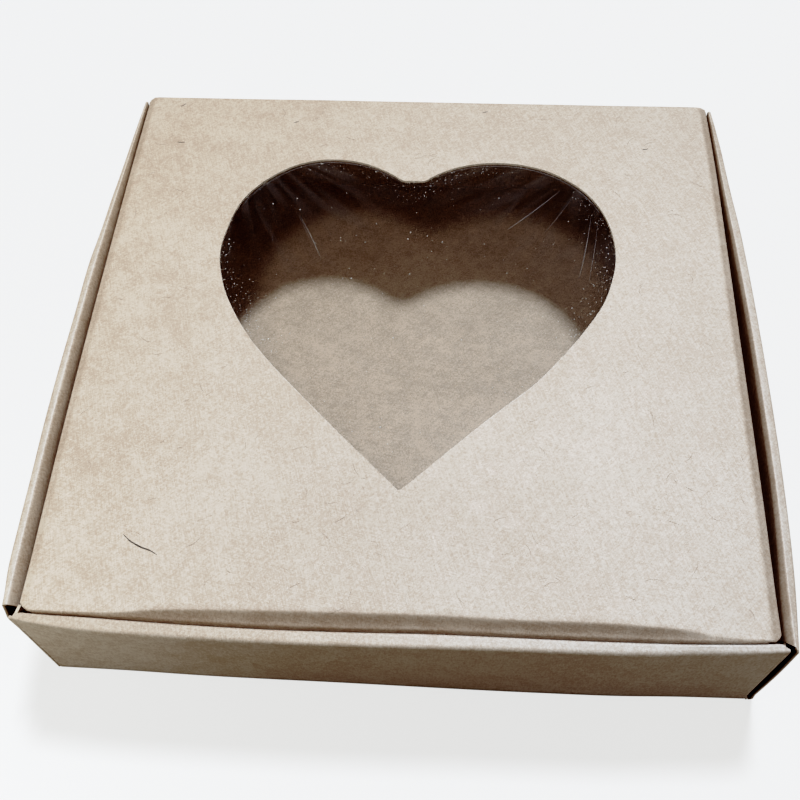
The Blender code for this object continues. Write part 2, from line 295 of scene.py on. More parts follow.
def fibres(tree, place, scale, width, offset, share):
    """Thin curling lines: where a noise field crosses its middle value, kept on a share of the sheet."""
    field = noise(tree, place, scale, 1.0, 0.4, 1.6, offset)
    away = maths(tree, "ABSOLUTE", maths(tree, "SUBTRACT", field, 0.5))
    line = remap(tree, away, 0.0, width, 1.0, 0.0)
    patch = noise(tree, place, scale * 1.7, 0.0, 0.5, 0.0, (offset[0] + 40, offset[1] - 25, 11))
    return maths(tree, "MULTIPLY", line, remap(tree, patch, 1 - share, 1.06 - share))


def streaks(tree, place, turn, offset):
    """Short fine streaks along one direction, given in degrees."""
    values = {"Vector": place, "Location": offset, "Rotation": (0, 0, math.radians(turn))}
    turned = add(tree, "ShaderNodeMapping", values).outputs[0]
    squeezed = add(tree, "ShaderNodeVectorMath", {0: turned, 1: (0.6, 5.6, 1.2)}, operation="MULTIPLY")
    return noise(tree, squeezed.outputs[0], 0.9, 1.0, 0.5, 0.25)


HAIRS = [
    # scale, width, offset, share of the sheet, strength, and whether they are pale
    (0.55, 0.010, (0, 0, 0), 0.42, 0.28, False),
    (0.33, 0.005, (70, 20, 9), 0.30, 0.36, False),
    (0.80, 0.016, (-30, 60, 4), 0.48, 0.45, True),
    (1.45, 0.026, (15, -35, 2), 0.50, 0.42, True),
]
STREAKS = [(12, (3, 8, 1)), (71, (55, -20, 6)), (134, (-17, 44, 12))]
KRAFT_RELIEF = 0.05
PLAIN_RELIEF = 0.02
# Tones that the board's marks mix in: pale rubbed wear, which also paints a highlight on some folds;
# painted shade on creases, slopes and the walls' inner panels; and deeper painted shade in the walls' gaps
# and hollows.
PALE_WEAR_AND_HIGHLIGHT = (0.80, 0.76, 0.70, 1)
PAINTED_SHADE_TONE = (0.62, 0.56, 0.50, 1)
DEEP_PAINTED_SHADE = (0.16, 0.15, 0.14, 1)
# Painted light: tints for light that is warm at the back left of a piece and cool at its front right.
WARM_LIGHT_TINT = (0.99, 0.975, 0.95, 1)
COOL_LIGHT_TINT = (0.937, 1.003, 1.117, 1)
# Painted shade: the board darkens towards the back.
BACK_PAINTED_SHADE = (0.94, 0.935, 0.93, 1)


def kraft(name, light, dark, sheen):
    """Uncoated kraft board: cloudy, grainy, with light and dark hairs."""
    material, tree, shader = blank_material(name)
    place = millimetres(tree)
    cloud = noise(tree, place, 0.05, 3.0, 0.55)
    mottle = noise(tree, place, 0.26, 5.0, 0.62, 0.25, (31, 7, 0))
    grain = noise(tree, place, 2.6, 2.0, 0.6, 0.0, (5, 91, 3))
    pulp = maths(tree, "ADD", *[streaks(tree, place, *streak) for streak in STREAKS])
    pulp = maths(tree, "DIVIDE", pulp, len(STREAKS))
    shade = weighted(tree, (cloud, 0.16), (mottle, 0.27), (grain, 0.30), (pulp, 0.62))
    colour = mix(tree, remap(tree, shade, 0.60, 0.75), (*dark, 1), (*light, 1))
    warm = [0.66 * value for value in dark]
    pale = [min(1.0, 1.30 * value) for value in light]
    lines = []
    for scale, width, offset, share, strength, is_pale in HAIRS:
        lines.append(fibres(tree, place, scale, width, offset, share))
        hue = (*(pale if is_pale else warm), 1)
        colour = mix(tree, maths(tree, "MULTIPLY", lines[-1], strength), colour, hue)
    # Marks on the board: above 0 pale rubbed wear with a painted highlight on some folds, below 0 painted
    # shade, below -1 deeper painted shade.
    wear_and_painted_light = add(tree, "ShaderNodeAttribute", attribute_name="wear_and_painted_light").outputs["Fac"]
    rough = remap(tree, maths(tree, "ADD", grain, pulp), 0.75, 1.25, 0.45, 1.0)
    colour = mix(tree, maths(tree, "MULTIPLY", remap(tree, wear_and_painted_light, 0.0, 1.0), rough), colour, PALE_WEAR_AND_HIGHLIGHT)
    colour = mix(tree, remap(tree, wear_and_painted_light, 0.0, -1.0), colour, PAINTED_SHADE_TONE, "MULTIPLY")
    colour = mix(tree, remap(tree, wear_and_painted_light, -1.0, -2.0), colour, DEEP_PAINTED_SHADE, "MULTIPLY")
    # Painted light: the board turns from warm at the back left to cool at the front right.
    across = add(tree, "ShaderNodeSeparateXYZ", {0: place}).outputs
    towards_cool_light = maths(tree, "SUBTRACT", across[0], maths(tree, "MULTIPLY", across[1], 0.7))
    tint = mix(tree, remap(tree, towards_cool_light, -85, 90), WARM_LIGHT_TINT, COOL_LIGHT_TINT)
    colour = mix(tree, 1.0, colour, tint, "MULTIPLY")
    # Painted shade, darker towards the back.
    colour = mix(tree, remap(tree, across[1], 25.0, 58.0), colour, BACK_PAINTED_SHADE, "MULTIPLY")
    tree.links.new(colour, shader.inputs["Base Color"])
    tree.links.new(remap(tree, mottle, 0.3, 0.7, 0.46, 0.62), shader.inputs["Roughness"])
    shader.inputs["Specular IOR Level"].default_value = sheen
    relief = weighted(tree, (mottle, 1.1), (grain, 0.55), (pulp, 1.0), (lines[2], 0.35))
    bump = add(tree, "ShaderNodeBump", {"Strength": 1.0, "Distance": KRAFT_RELIEF * MM, "Height": relief})
    tree.links.new(bump.outputs[0], shader.inputs["Normal"])
    return material


def plain(name, low, high, scale, roughness, alpha=1.0):
    """A material whose colour wavers between two tones."""
    material, tree, shader = blank_material(name)
    place = millimetres(tree)
    field = noise(tree, place, scale, 3.0, 0.6)
    tone = remap(tree, field, 0.35, 0.65)
    tree.links.new(mix(tree, tone, (*low, 1), (*high, 1)), shader.inputs["Base Color"])
    rough = remap(tree, field, 0.3, 0.7, roughness - 0.06, roughness + 0.06)
    tree.links.new(rough, shader.inputs["Roughness"])
    bump = add(tree, "ShaderNodeBump", {"Strength": 1.0, "Distance": PLAIN_RELIEF * MM, "Height": field})
    tree.links.new(bump.outputs[0], shader.inputs["Normal"])
    shader.inputs["Alpha"].default_value = alpha
    return material


FOLD_AT = (41.0, 52.0)  # where the film's folds on each side come together, out past the window
# Middle of a painted reflection: a hazier patch of film near the window's right edge.
REFLECTION_PATCH_AT = (39.5, 17.0, 24.4)


def film_veil(tree, place):
    """Pale rays on the film, which fan out from a point beyond each upper corner of the window."""
    part = add(tree, "ShaderNodeSeparateXYZ", {0: place}).outputs
    from_x = maths(tree, "SUBTRACT", maths(tree, "ABSOLUTE", part[0]), FOLD_AT[0])
    from_y = maths(tree, "SUBTRACT", part[1], FOLD_AT[1])
    turn = maths(tree, "ARCTAN2", from_x, maths(tree, "MULTIPLY", from_y, -1.0))
    squares = [maths(tree, "POWER", value, 2.0) for value in (from_x, from_y)]
    far = maths(tree, "SQRT", maths(tree, "ADD", *squares))
    scaled = ((turn, 9.0), (far, 0.05), (maths(tree, "SIGN", part[0]), 7.0))
    fan = {k: maths(tree, "MULTIPLY", *pair) for k, pair in enumerate(scaled)}
    fan = add(tree, "ShaderNodeCombineXYZ", fan).outputs[0]
    rays = remap(tree, noise(tree, fan, 1.0, 1.5, 0.5, 0.6), 0.42, 0.70, 0.0, 0.13)
    return maths(tree, "MULTIPLY", rays, remap(tree, far, 48.0, 24.0))


def clear_film():
    """Thin clear film. It mirrors a little, more at a glancing angle, and is faintly scuffed."""
    material, tree, shader = blank_material("clear_film")
    place = millimetres(tree)
    facing = add(tree, "ShaderNodeLayerWeight", {"Blend": 0.5}).outputs["Facing"]
    gloss = maths(tree, "ADD", 0.030, maths(tree, "MULTIPLY", maths(tree, "POWER", facing, 5.0), 0.8))
    scuff = noise(tree, place, 0.12, 4.0, 0.65, 0.8)
    # Painted reflection: the film is hazier in a patch near the window's right edge.
    far = add(tree, "ShaderNodeVectorMath", {0: place, 1: REFLECTION_PATCH_AT}, operation="DISTANCE").outputs[1]
    reflection_patch = maths(tree, "MULTIPLY", remap(tree, far, 9.0, 1.0, 0.0, 0.10), remap(tree, scuff, 0.3, 0.6))
    haze = remap(tree, scuff, 0.48, 0.75, 0.0, 0.018)
    haze = maths(tree, "ADD", haze, film_veil(tree, place), reflection_patch)
    tree.links.new(maths(tree, "ADD", gloss, haze), shader.inputs["Alpha"])
    tree.links.new(remap(tree, scuff, 0.3, 0.8, 0.02, 0.045), shader.inputs["Roughness"])
    tint = mix(tree, scuff, (0.76, 0.86, 1.0, 1), (0.84, 0.92, 1.0, 1))
    tree.links.new(tint, shader.inputs["Base Color"])
    shader.inputs["Metallic"].default_value = 1.0
    return material


OUTSIDE = kraft("kraft_outside", (0.685, 0.578, 0.46), (0.515, 0.395, 0.285), sheen=0.7)
INSIDE = kraft("kraft_inside", (0.615, 0.495, 0.375), (0.42, 0.325, 0.23), sheen=0.25)
CUT_EDGE = plain("board_cut_edge", (0.50, 0.41, 0.31), (0.74, 0.66, 0.55), 3.0, 0.85)
FILM = clear_film()
DUST = plain("dust", (0.80, 0.80, 0.78), (0.95, 0.95, 0.93), 6.0, 0.8)
# Pale ribbons laid on the film: painted highlights on its wrinkles' crests, and its glue's edge.
CREASE_HIGHLIGHT_AND_GLUE = plain("film_crease", (0.62, 0.63, 0.66), (0.80, 0.80, 0.80), 1.5, 0.5, alpha=0.30)
DARK_FIBRE = plain("dark_fibre", (0.035, 0.028, 0.022), (0.09, 0.07, 0.05), 2.0, 0.7)
BROWN_FIBRE = plain("brown_fibre", (0.27, 0.20, 0.14), (0.42, 0.33, 0.24), 2.0, 0.7)
PALE_FIBRE = plain("pale_fibre", (0.55, 0.50, 0.42), (0.80, 0.76, 0.68), 2.0, 0.8)
BOARD_FACES = (OUTSIDE, INSIDE, CUT_EDGE)
# The side walls' cut edges use the inside board's darker brown: painted shade where their ends sit in
# shadow.
WALL_FACES_SHADED_EDGES = (OUTSIDE, INSIDE, INSIDE)


# Shape of the box as it stands: how its edges run, measured outwards from the middle

side_outer = {
    -1: curve(
        (-60, 61.9), (-56, 62.2), (-52, 62.7), (-45, 62.95), (-35, 63.15), (-25, 63.42), (-15, 63.52),
        (0, 63.4), (14, 63.3), (22, 62.75), (30, 62.4), (37, 61.95), (44, 61.6), (60, 60.9),
    ),
    1: curve(
        (-60, 61.4), (-56, 61.9), (-51, 62.4), (-44, 62.88), (-35, 63.25), (-25, 63.5), (5, 63.52),
        (18, 63.27), (26, 63.0), (34, 62.5), (42, 62.1), (48, 61.85), (54, 61.4), (60, 60.9),
    ),
}
side_ridge = {
    -1: curve(
        (-60, 61.2), (-50, 61.5), (-25, 62.05), (0, 62.15), (20, 61.85), (35, 61.3), (48, 60.9),
        (60, 60.6),
    ),
    1: curve(
        (-60, 60.9), (-50, 61.2), (-42, 61.55), (-30, 61.95), (-15, 62.1), (5, 62.05), (20, 61.65),
        (34, 61.1), (48, 60.75), (60, 60.5),
    ),
}
side_radius = {
    -1: curve((-60, 5.0), (-50, 4.6), (-20, 4.2), (0, 4.2), (20, 3.6), (35, 2.6), (48, 1.6), (60, 0.9)),
    1: curve((-60, 2.1), (-50, 1.9), (-40, 1.5), (-20, 1.4), (20, 1.1), (34, 0.7), (60, 0.4)),
}
side_start = {-1: 49, 1: 30}
side_dip = {
    -1: curve((-60, 0.0), (15, 0.0), (40, 0.25), (52, 0.6), (60, 1.0)),
    1: curve((-60, 0.0), (30, 0.0), (48, 0.2), (56, 0.45), (60, 0.8)),
}
front_outer = curve(
    (-60, 60.0), (-57, 60.5), (-52, 61.1), (-47, 61.5), (-40, 61.75), (-30, 61.95), (-20, 62.05),
    (-8, 62.0), (3, 61.85), (13, 61.65), (30, 61.5), (37, 61.4), (42, 61.15), (46, 60.85), (50, 60.65),
    (55, 60.35), (60, 59.9),
)
front_inner = curve(
    (-60, 58.75), (-57, 58.95), (-48, 59.2), (-38, 59.55), (-28, 59.8), (-16, 59.87), (-5, 59.72),
    (5, 59.5), (15, 59.47), (28, 59.5), (38, 59.42), (45, 59.3), (51, 59.05), (56, 58.8), (60, 58.4),
)
front_roll = curve((-60, 0.3), (-56, 0.45), (0, 0.6), (25, 0.7), (55, 0.65), (60, 0.35))
lid_side = {
    -1: curve(
        (-60, 59.55), (-50, 59.6), (-40, 59.8), (-25, 60.05), (-10, 60.2), (10, 60.25), (30, 60.2),
        (45, 60.1), (60, 59.9),
    ),
    1: curve(
        (-60, 59.4), (-50, 59.5), (-38, 59.7), (-20, 59.88), (0, 60.0), (20, 60.15), (46, 60.25),
        (60, 60.0),
    ),
}
lid_crease = curve(
    (-60, 58.3), (-52, 58.4), (-44, 58.2), (-38, 57.5), (-30, 57.1), (-22, 56.85), (-10, 56.6), (5, 56.4),
    (20, 56.6), (32, 56.5), (40, 56.75), (45, 57.05), (49, 57.8), (54, 58.1), (60, 58.0),
)
front_bow = curve(
    (-60, -0.1), (-50, 0.0), (-35, 0.35), (-10, 0.5), (25, 0.7), (38, 0.6), (48, 0.25), (60, 0.0),
)
strip_width = {-1: 1.4, 1: 1.55}
strip_drop = {-1: 0.5, 1: 0.6}
front_end = {-1: 60.35, 1: 60.1}
lid_ripple = waves(4, (24, 41, 63), 0.035)
wall_ripple = waves(11, (9, 17, 29), 0.03)
crease_ripple = waves(7, (1.3, 2.3, 4.1, 7.7), 0.035)


def lid_front(x):
    """How far out the lid's front edge seems to lie."""
    return front_inner(x) - 0.32 - 0.14 * smooth(57, 45, np.abs(x))


def front_slant(x):
    """How far the lid's front band leans down, less towards its right end."""
    return (1 - 0.45 * smooth(40, 50, x)) * (lid_front(x) - lid_crease(x))


def front_low(x):
    """How far out the lid's front fold lies, at the foot of its slanting band."""
    return lid_front(x) - 0.35 * front_slant(x)


def front_drop(x):
    """How far the slanting band falls."""
    return 0.88 * front_slant(x)


def tab_edges(play=0.0):
    half = TAB_WIDTH / 2 + play
    return [side * TAB_SPACING / 2 + end * half for side in (-1, 1) for end in (-1, 1)]


def on_tab(place, play=0.0):
    return abs(abs(place) - TAB_SPACING / 2) < TAB_WIDTH / 2 + play


def stations(low, high, step, extra=()):
    """Places from low to high about a step apart, with some extra ones."""
    even = np.linspace(low, high, max(2, round((high - low) / step)) + 1)
    kept = [place for place in even if all(abs(place - e) > 0.25 * step for e in extra)]
    return np.array(sorted(kept + [e for e in extra if low < e < high]))


# Tray


def base_board():
    """Floor of the box, with the notches that take the walls' tabs."""
    notch_x, notch_y = INNER_FOOT - 0.2, INNER_FRONT_FOOT - 0.2
    xs = stations(-BASE_X, BASE_X, 4.0, tab_edges(NOTCH_PLAY) + [-notch_x, notch_x])
    ys = stations(-BASE_Y, BASE_Y, 4.0, tab_edges(NOTCH_PLAY) + [-notch_y])
    x, y = np.meshgrid(xs, ys)
    middle_x, middle_y = (xs[1:] + xs[:-1]) / 2, (ys[1:] + ys[:-1]) / 2

    def keep(i, j):
        in_side = abs(middle_x[j]) > notch_x and on_tab(middle_y[i], NOTCH_PLAY)
        in_front = middle_y[i] < -notch_y and on_tab(middle_x[j], NOTCH_PLAY)
        return not in_side and not in_front

    face = np.stack([x, y, 0 * x], axis=-1)
    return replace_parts(board("base_board", face, flip=True, keep=keep), "base_panel")


def foot_rows(foot):
    """The base crease of a wall: (distance out, height)."""
    turns = zip(*arc(270, 360, FOOT_STEPS))
    return [(foot - RADIUS + RADIUS * c, RADIUS + RADIUS * s) for c, s in turns]


def side_section(side, y):
    """Measures along a side wall's top: outer edge, outer fold, ridge, roll, inner edge and height."""
    outer, ridge = side_outer[side](y), side_ridge[side](y)
    fold = np.minimum(0.5, np.maximum(0.6 * (outer - ridge), 0.2))
    ridge = np.minimum(ridge, outer - fold)
    radius = side_radius[side](y)
    start = math.radians(side_start[side])
    inner = ridge - radius * (1 - math.sin(start))
    return outer, fold, ridge, radius, inner, TOP - side_dip[side](y)


SIDE_WEAR_AND_PAINTED_LIGHT = {-1: (0.75, 0.5, 0.8), 1: (0.27, 0.95, 1.2)}  # pale rubbed ridge with a painted highlight, painted shade in the roll, painted shade on the inner panel
INNER_ENDS = (-56.9, 59.1)  # ends of the side walls' inner panels


def side_rows(side):
    """The lines along a side wall, from its foot over its top to its tabs.

    Each has its kind, its share of that stretch (a step for the foot) and its front and back ends.
    """
    ridge_end, inner_end = (-57.75, -57.0) if side < 0 else (-59.1, -57.6)
    foot_end = -57.3 if side < 0 else -60.0
    rows = [("foot", k, foot_end, FRONT_FOOT - 0.2) for k in range(FOOT_STEPS + 1)]
    for share in shares(18):
        z = RADIUS + (RIM - RADIUS) * share
        if side < 0:
            front = foot_end - 1.5 * smooth(16.5, 20.5, z) + 1.0 * smooth(21, 24.4, z)
        else:
            front = -59.75 - 0.1 * smooth(2, 22, z)
        rows.append(("outer", share, front, FRONT_FOOT - 0.2 - 0.5 * share))
    outer_end = rows[-1][2]
    middle = (outer_end + ridge_end) / 2
    rows += [("outer_fold", s, outer_end + (middle - outer_end) * s, 59.3 - 0.2 * s) for s in shares(5)]
    rows += [("crest", s, middle + (ridge_end - middle) * s, INNER_ENDS[1]) for s in shares(4)]
    rows += [("inner_roll", s, ridge_end + (inner_end - ridge_end) * s, INNER_ENDS[1]) for s in shares(10)]
    return rows + [("inner", s, *INNER_ENDS) for s in shares(12)] + [("tab", 1, *INNER_ENDS)]


def side_wall(side):
    """A side wall in one piece: outer panel, rolled top with its ridge, inner panel and tabs."""
    rows = side_rows(side)
    length = INNER_ENDS[1] - INNER_ENDS[0]
    ts = (stations(*INNER_ENDS, 0.8, tab_edges()) - INNER_ENDS[0]) / length
    start = math.radians(side_start[side])
    pale, roll_shade, inside = SIDE_WEAR_AND_PAINTED_LIGHT[side]
    # The outer side: painted shade on the outer fold, the ridge's paleness on the crest, painted shade
    # down the roll and on the inner panel, deeper on the right wall.
    marks = {
        "outer_fold": lambda share: -0.5 + (0.5 + 0.3 * pale) * share,
        "crest": lambda share: 0.3 * pale + 0.7 * pale * share,
        "inner_roll": lambda share: max(pale - 6.0 * share, -roll_shade),
        "inner": lambda share: -inside,
    }
    face, wear_and_painted_light, back_wear_and_painted_light = [], [], []
    for kind, share, front, back in rows:
        y = front + (back - front) * ts
        wear_and_painted_light.append((marks[kind](share) if kind in marks else 0) + 0 * y)
        # Deep painted shade on the hidden side near the front end, where the hollow wall shows.
        back_wear_and_painted_light.append(-2.0 * smooth(-54.0, -57.0, y))
        outer, fold, ridge, radius, inner, top = side_section(side, y)
        fall = radius * math.cos(start)
        low = 0.3 * smooth(0.2, 1.2, outer - ridge)
        slack = wall_ripple(y, 40 * side)
        if kind == "foot":
            x, z = foot_rows(SIDE_FOOT)[share]
        elif kind == "outer":
            z = RADIUS + (top - low - fold - RADIUS) * share
            x = SIDE_FOOT + (outer - SIDE_FOOT) * share + (0.2 + slack) * math.sin(math.pi * share)
        elif kind == "outer_fold":
            angle = math.radians(90 * share)
            x = outer - fold + fold * math.cos(angle) + 0.5 * crease_ripple(y, 5.0) * share
            z = top - low - fold + fold * math.sin(angle)
        elif kind == "crest":
            x = outer - fold + (ridge - outer + fold) * share
            z = top - low * (1 - share) + 2.0 * crease_ripple(y, 9.0) * share * (1 - share)
        elif kind == "inner_roll":
            angle = start + (math.pi / 2 - start) * share
            x = ridge - radius * (math.sin(angle) - math.sin(start))
            z = top - radius * (math.cos(start) - math.cos(angle))
        elif kind == "inner":
            x = inner + (INNER_FOOT - inner) * share**1.15 + 0.6 * slack * math.sin(math.pi * share)
            z = top - fall + (FLOOR - top + fall) * share
        else:
            x, z = INNER_FOOT, TAB_FOOT
        face.append(points_row(side * np.minimum(x, WIDEST), y, z))
    middles = INNER_ENDS[0] + length * (ts[1:] + ts[:-1]) / 2
    tab_row = len(rows) - 2

    def keep(i, j):
        return i < tab_row or on_tab(middles[j])

    name = SIDE_NAMES[side] + "_wall_"
    marks = {"wear_and_painted_light": wear_and_painted_light, "back_wear_and_painted_light": back_wear_and_painted_light}
    piece = board(name + "board", face, WALL_FACES_SHADED_EDGES, flip=side < 0, keep=keep, **marks)
    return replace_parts(piece, name + "outer", name + "ledge", name + "inner")


def front_wall():
    """The front wall in one piece. Its rolled top is rounded off at both ends."""
    rows = [("foot", k) for k in range(FOOT_STEPS + 1)]
    for kind, count in (("outer", 18), ("outer_fold", 8), ("ledge", 7), ("inner_fold", 5), ("inner", 12)):
        rows += [(kind, share) for share in shares(count)]
    rows += [("tab", 1.0)]
    half = 59.4
    xs = stations(-half, half, 0.55, tab_edges())
    middles = (xs[1:] + xs[:-1]) / 2
    face, wear_and_painted_light = [], []
    last = np.where(xs < 0, front_end[-1], front_end[1])
    for kind, share in rows:
        # Painted shade on the front face: none at the left end, most in the middle, half as much at the
        # right, and more along the base crease.
        painted_shade = -0.65 * smooth(-50, -12, xs) * (1 - 0.5 * smooth(15, 50, xs)) - 0.6 * (kind == "foot")
        # The top's folds and ledge: a little darker at the left end, paler towards the right.
        ledge_tone = -0.2 + 0.65 * smooth(-55, 50, xs)
        pale = {"outer_fold": share, "ledge": 1.0, "inner_fold": 1.0}
        wear_and_painted_light.append(ledge_tone * pale[kind] if kind in pale else painted_shade)
        if kind == "foot":
            lower = 1 - share / FOOT_STEPS
            end = last - 0.45 + np.where(xs < 0, -1.6 * lower, 1 - (1 - lower) ** 2)
        elif kind == "outer":
            end = last - 0.45 + 0.45 * smooth(0.5, 1.0, share)
        elif kind == "outer_fold":
            end = last
        elif kind == "ledge":
            end = last - 0.65 * share**2
        else:
            end = last - 0.65 if kind == "inner_fold" else 59.1
        if kind in ("inner", "tab"):
            x = np.where(np.abs(xs) > 50, xs * end / half, xs)
        else:
            x = xs + np.sign(xs) * (end - half) * smooth(50, half, np.abs(xs))
        outer, inner, roll = front_outer(x), front_inner(x), front_roll(x)
        inner = inner + 0.55 * smooth(58.4, 60.6, np.abs(x))
        inner = np.minimum(inner, outer - roll - 0.5)
        slack = wall_ripple(x, 90.0)
        if kind == "foot":
            out, z = foot_rows(FRONT_FOOT)[share]
            out = out + front_bow(x) * share / FOOT_STEPS
        elif kind == "outer":
            top = TOP - LEDGE_DIP - roll
            z = RADIUS + (top - RADIUS) * share
            fade = smooth(59.9, 50, np.abs(x))
            foot = FRONT_FOOT + front_bow(x)
            out = foot + (outer - foot) * share + fade * slack * math.sin(math.pi * share)
        elif kind == "outer_fold":
            angle = math.radians(90 * share)
            out = outer - roll + roll * math.cos(angle) + 0.9 * crease_ripple(x, 2.0) * math.sin(angle)
            z = TOP - LEDGE_DIP - roll + roll * math.sin(angle)
        elif kind == "ledge":
            out = outer - roll + (inner + INNER_FOLD - outer + roll) * share
            out = out + 0.9 * crease_ripple(x, 2.0) * (1 - share)
            z = TOP - LEDGE_DIP * (1 - share) + 0.7 * crease_ripple(x, 14.0) * share * (1 - share)
        elif kind == "inner_fold":
            angle = math.radians(90 * share)
            out = inner + INNER_FOLD * (1 - math.sin(angle))
            z = TOP - INNER_FOLD_DROP * (1 - math.cos(angle))
        elif kind == "inner":
            out = inner + (INNER_FRONT_FOOT - inner) * share
            z = TOP - INNER_FOLD_DROP + (FLOOR - TOP + INNER_FOLD_DROP) * share
        else:
            out, z = INNER_FRONT_FOOT, TAB_FOOT
        face.append(points_row(x, -np.minimum(out, DEEPEST), z))
    tab_row = len(rows) - 2
    piece = board("front_wall_board", face, keep=lambda i, j: i < tab_row or on_tab(middles[j]), wear_and_painted_light=wear_and_painted_light)
    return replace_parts(piece, "front_wall_outer", "front_wall_ledge", "front_wall_inner")


def ear(side, end):
    """An ear: round a corner from the front or back wall, then in between a side wall's panels."""
    name = ("front" if end < 0 else "back") + "_ear_board_" + SIDE_NAMES[side]
    radius = EAR_RADIUS
    centre_x, centre_y = front_end[side] - 0.33, FRONT_FOOT - radius
    path = [(centre_x - 0.12, FRONT_FOOT)]
    path += [(centre_x + radius * c, centre_y + radius * s) for c, s in zip(*arc(90, 0, 8))]
    near = [59.4, 59.0, 58.6, 58.2, 57.8, 57.5, 57.3, 57.1, 56.9, 56.6, 56.2, 55.6]
    path += [(centre_x + radius, y) for y in (*near, *np.linspace(55, centre_y - EAR_LENGTH, 32))]
    path = np.array(path)
    taper = math.tan(math.radians(EAR_TAPER)) * np.maximum(0.0, centre_y - path[:, 1])
    shows = side < 0 and end < 0
    corner_top, hidden_top = (RIM - 0.15, 21.6) if shows else (23.3, 21.8)
    dip_from, dip_to = (57.35, 56.85) if shows else (59.6, 58.6)
    low = RADIUS + 0.2 + taper
    if side > 0 and end < 0:
        low = low - 0.70 * smooth(57.5, 59.2, path[:, 1])
    high = corner_top + (hidden_top - corner_top) * smooth(dip_from, dip_to, path[:, 1]) - 0.8 * taper
    inner = side_section(side, end * path[:, 1])[4]
    hidden = smooth(59.2, 56.9, path[:, 1])
    face = []
    for share in np.linspace(0, 1, 15):
        z = low + (high - low) * share
        lean = INNER_FOOT + (inner - INNER_FOOT) * (z / RIM) ** 0.9 + 1.05
        upper = smooth(20.5, 23.0, z) if shows else 0
        x = path[:, 0] + (lean - path[:, 0]) * hidden * (1 - upper)
        if side > 0 and end < 0:
            x = x + 0.6 * smooth(1.3, 0.2, z) * smooth(58.6, 59.6, path[:, 1])
        inward = upper * (0.25 + 0.45 * np.clip((59.8 - path[:, 1]) / 2.4, 0, 1))
        face.append(points_row(side * (x - inward), end * path[:, 1], z))
    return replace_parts(board(name, face, flip=(side * end > 0)), name.replace("_board", ""))


def back_wall():
    """The single back wall, which runs over the hinge crease to the lid."""
    rows = [("foot", k) for k in range(FOOT_STEPS + 1)]
    rows += [("outer", share) for share in shares(16)] + [("fold", share) for share in shares(8)]
    xs = np.linspace(-59.9, 59.9, 121)
    ridge = lid_height(xs, FRONT_FOOT - RADIUS)
    low = np.minimum(TOP - RADIUS, ridge - 0.35)
    face = []
    for kind, share in rows:
        if kind == "foot":
            out, z = foot_rows(FRONT_FOOT)[share]
        elif kind == "outer":
            slack = 0.12 + np.abs(wall_ripple(xs, 150.0))
            out = FRONT_FOOT - smooth(59.9, 50, np.abs(xs)) * slack * math.sin(math.pi * share)
            z = RADIUS + (low - RADIUS) * share
        else:
            angle = math.radians(90 * share)
            out = FRONT_FOOT - RADIUS + RADIUS * math.cos(angle)
            z = low + (ridge - low) * math.sin(angle)
        x = xs * (1 - 0.0015 * (kind == "fold") * share)
        face.append(points_row(x, out, z))
    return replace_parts(board("back_wall_board", face, flip=True, fold=-1), "back_wall")


# Lid


def arc_points(centre, radius, start, end, steps):
    """Points along an arc, after its first one. Its angles are in radians."""
    angles = np.linspace(start, end, steps)[1:]
    return centre + radius * np.stack([np.cos(angles), np.sin(angles)], axis=-1)


def heart_points():
    """Outline of the window from its tip, round the right side to the cleft and back on the left."""
    slope = math.radians(HEART_SLOPE)
    turn = slope - math.pi / 2 + math.radians(HEART_FLANK_ANGLE)
    flank, lobe, steps = HEART_FLANK_RADIUS, HEART_LOBE_RADIUS, 60
    tip = np.array([0.0, HEART_TIP])
    corner = tip + HEART_STRAIGHT * np.array([math.cos(slope), math.sin(slope)])
    flank_centre = corner + flank * np.array([-math.sin(slope), math.cos(slope)])
    lobe_centre = flank_centre + (flank - lobe) * np.array([math.cos(turn), math.sin(turn)])
    cleft = math.pi - math.acos((lobe_centre[0] - HEART_CLEFT / 2) / lobe)
    right = [tip + np.outer(np.linspace(0, 1, steps), corner - tip)]
    right += [arc_points(flank_centre, flank, slope - math.pi / 2, turn, steps)]
    right += [arc_points(lobe_centre, lobe, turn, cleft, 3 * steps)]
    right = np.vstack(right)
    outline = np.vstack([right, right[::-1][:-1] * [-1, 1]])
    outline[:, 0] -= 0.4 + 0.0115 * (outline[:, 1] - HEART_TIP)
    return outline


window_change = curve(
    (-90, 0.05), (-62, 0.2), (-48, 0.55), (-30, 0.65), (-18, 1.0), (-5, 1.5), (5, 1.1), (15, 0.8),
    (36, 0.95), (50, 0.55), (62, 0.0), (78, -0.35), (92, -0.75), (101, -0.6), (112, -0.1), (130, -0.4),
    (138, -1.05), (150, -1.6), (162, -2.1), (170, -1.5), (176, -1.0), (184, -0.4), (195, -0.2),
    (225, -0.35), (250, 0.0), (270, 0.05),
)


def window_edge():
    """The window's edge as angles round its middle and distances from there."""
    outline = heart_points()
    angle = np.unwrap(np.arctan2(outline[:, 1] - HEART_MIDDLE, outline[:, 0]))
    reach = np.hypot(outline[:, 0], outline[:, 1] - HEART_MIDDLE) + window_change(np.degrees(angle))
    even = np.linspace(angle[0], angle[-1], 2881)
    reach = np.interp(even, angle, reach)
    window = np.hanning(31)[1:-1]
    eased = np.convolve(np.pad(reach, 14, mode="edge"), window / window.sum(), mode="valid")
    near_cleft = smooth(math.radians(75), math.radians(82), even) * smooth(2.0, 1.85, even)
    return even, reach + (eased - reach) * near_cleft


heart_angles, heart_reaches = window_edge()


def heart_reach(angle):
    """Distance from the window's middle to its edge, along an angle."""
    start = heart_angles[0]
    turned = start + np.mod(np.asarray(angle) - start, 2 * math.pi)
    angles = np.append(heart_angles, start + 2 * math.pi)
    return np.interp(turned, angles, np.append(heart_reaches, heart_reaches[0]))


